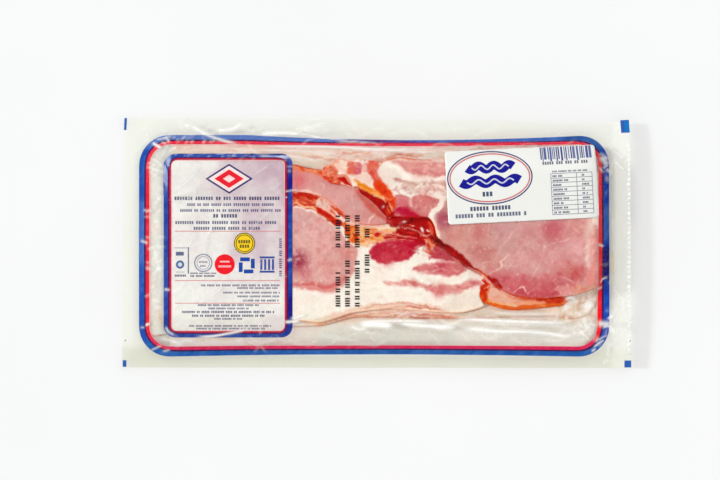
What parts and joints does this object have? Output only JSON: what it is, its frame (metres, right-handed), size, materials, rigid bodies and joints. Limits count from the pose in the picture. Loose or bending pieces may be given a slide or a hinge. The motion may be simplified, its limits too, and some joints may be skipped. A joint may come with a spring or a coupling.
{
  "type": "bacon pack",
  "caption": "Clear vacuum pack of sliced back bacon with a printed border, lying on its back, with a paper label on its front.",
  "frame": {"origin": "middle of the pack's outline, on the surface that its flat underside rests on", "axes": "+X along the pack's length, +Y towards its upper edge as it is read, +Z out of its front"},
  "size_m": [0.2456, 0.121, 0.0128],
  "materials": {
    "film_and_bacon": "clear glossy film drawn tight over pink sliced bacon",
    "label_paper": "smooth white coated paper"
  },
  "bodies": {
    "root": {"pouch": "film_and_bacon", "front_label": "label_paper"}
  },
  "joints": []
}
